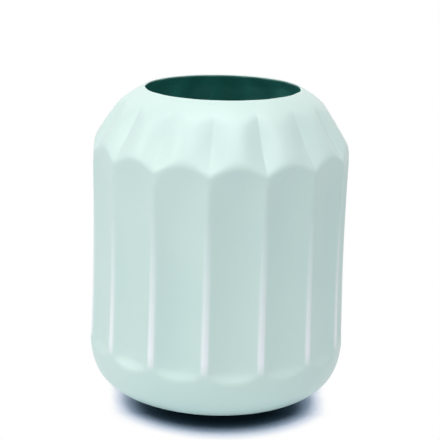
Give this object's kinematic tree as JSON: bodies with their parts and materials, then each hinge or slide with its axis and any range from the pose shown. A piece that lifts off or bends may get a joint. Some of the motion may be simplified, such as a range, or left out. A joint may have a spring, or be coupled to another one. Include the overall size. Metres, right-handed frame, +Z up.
{
  "type": "vase",
  "caption": "Upright sheet metal flower vase with a fluted wall, a pleated shoulder, a wide round mouth and a smooth rounded foot.",
  "frame": {"origin": "on the vase's axis, at the level of the table that its pads stand on", "axes": "+Z up along the vase's axis of symmetry; a ridge of the wall faces -Y"},
  "size_m": [0.1666, 0.1668, 0.2],
  "materials": {
    "mint_lacquer": "satin",
    "mint_base": "satin",
    "green_lining": "gloss",
    "felt": "matt"
  },
  "bodies": {
    "root": {"body_shell": "mint_lacquer", "base_plate": "mint_base", "inner_lining": "green_lining", "foot_pad_1": "felt", "foot_pad_2": "felt", "foot_pad_3": "felt", "foot_pad_4": "felt"}
  },
  "joints": []
}
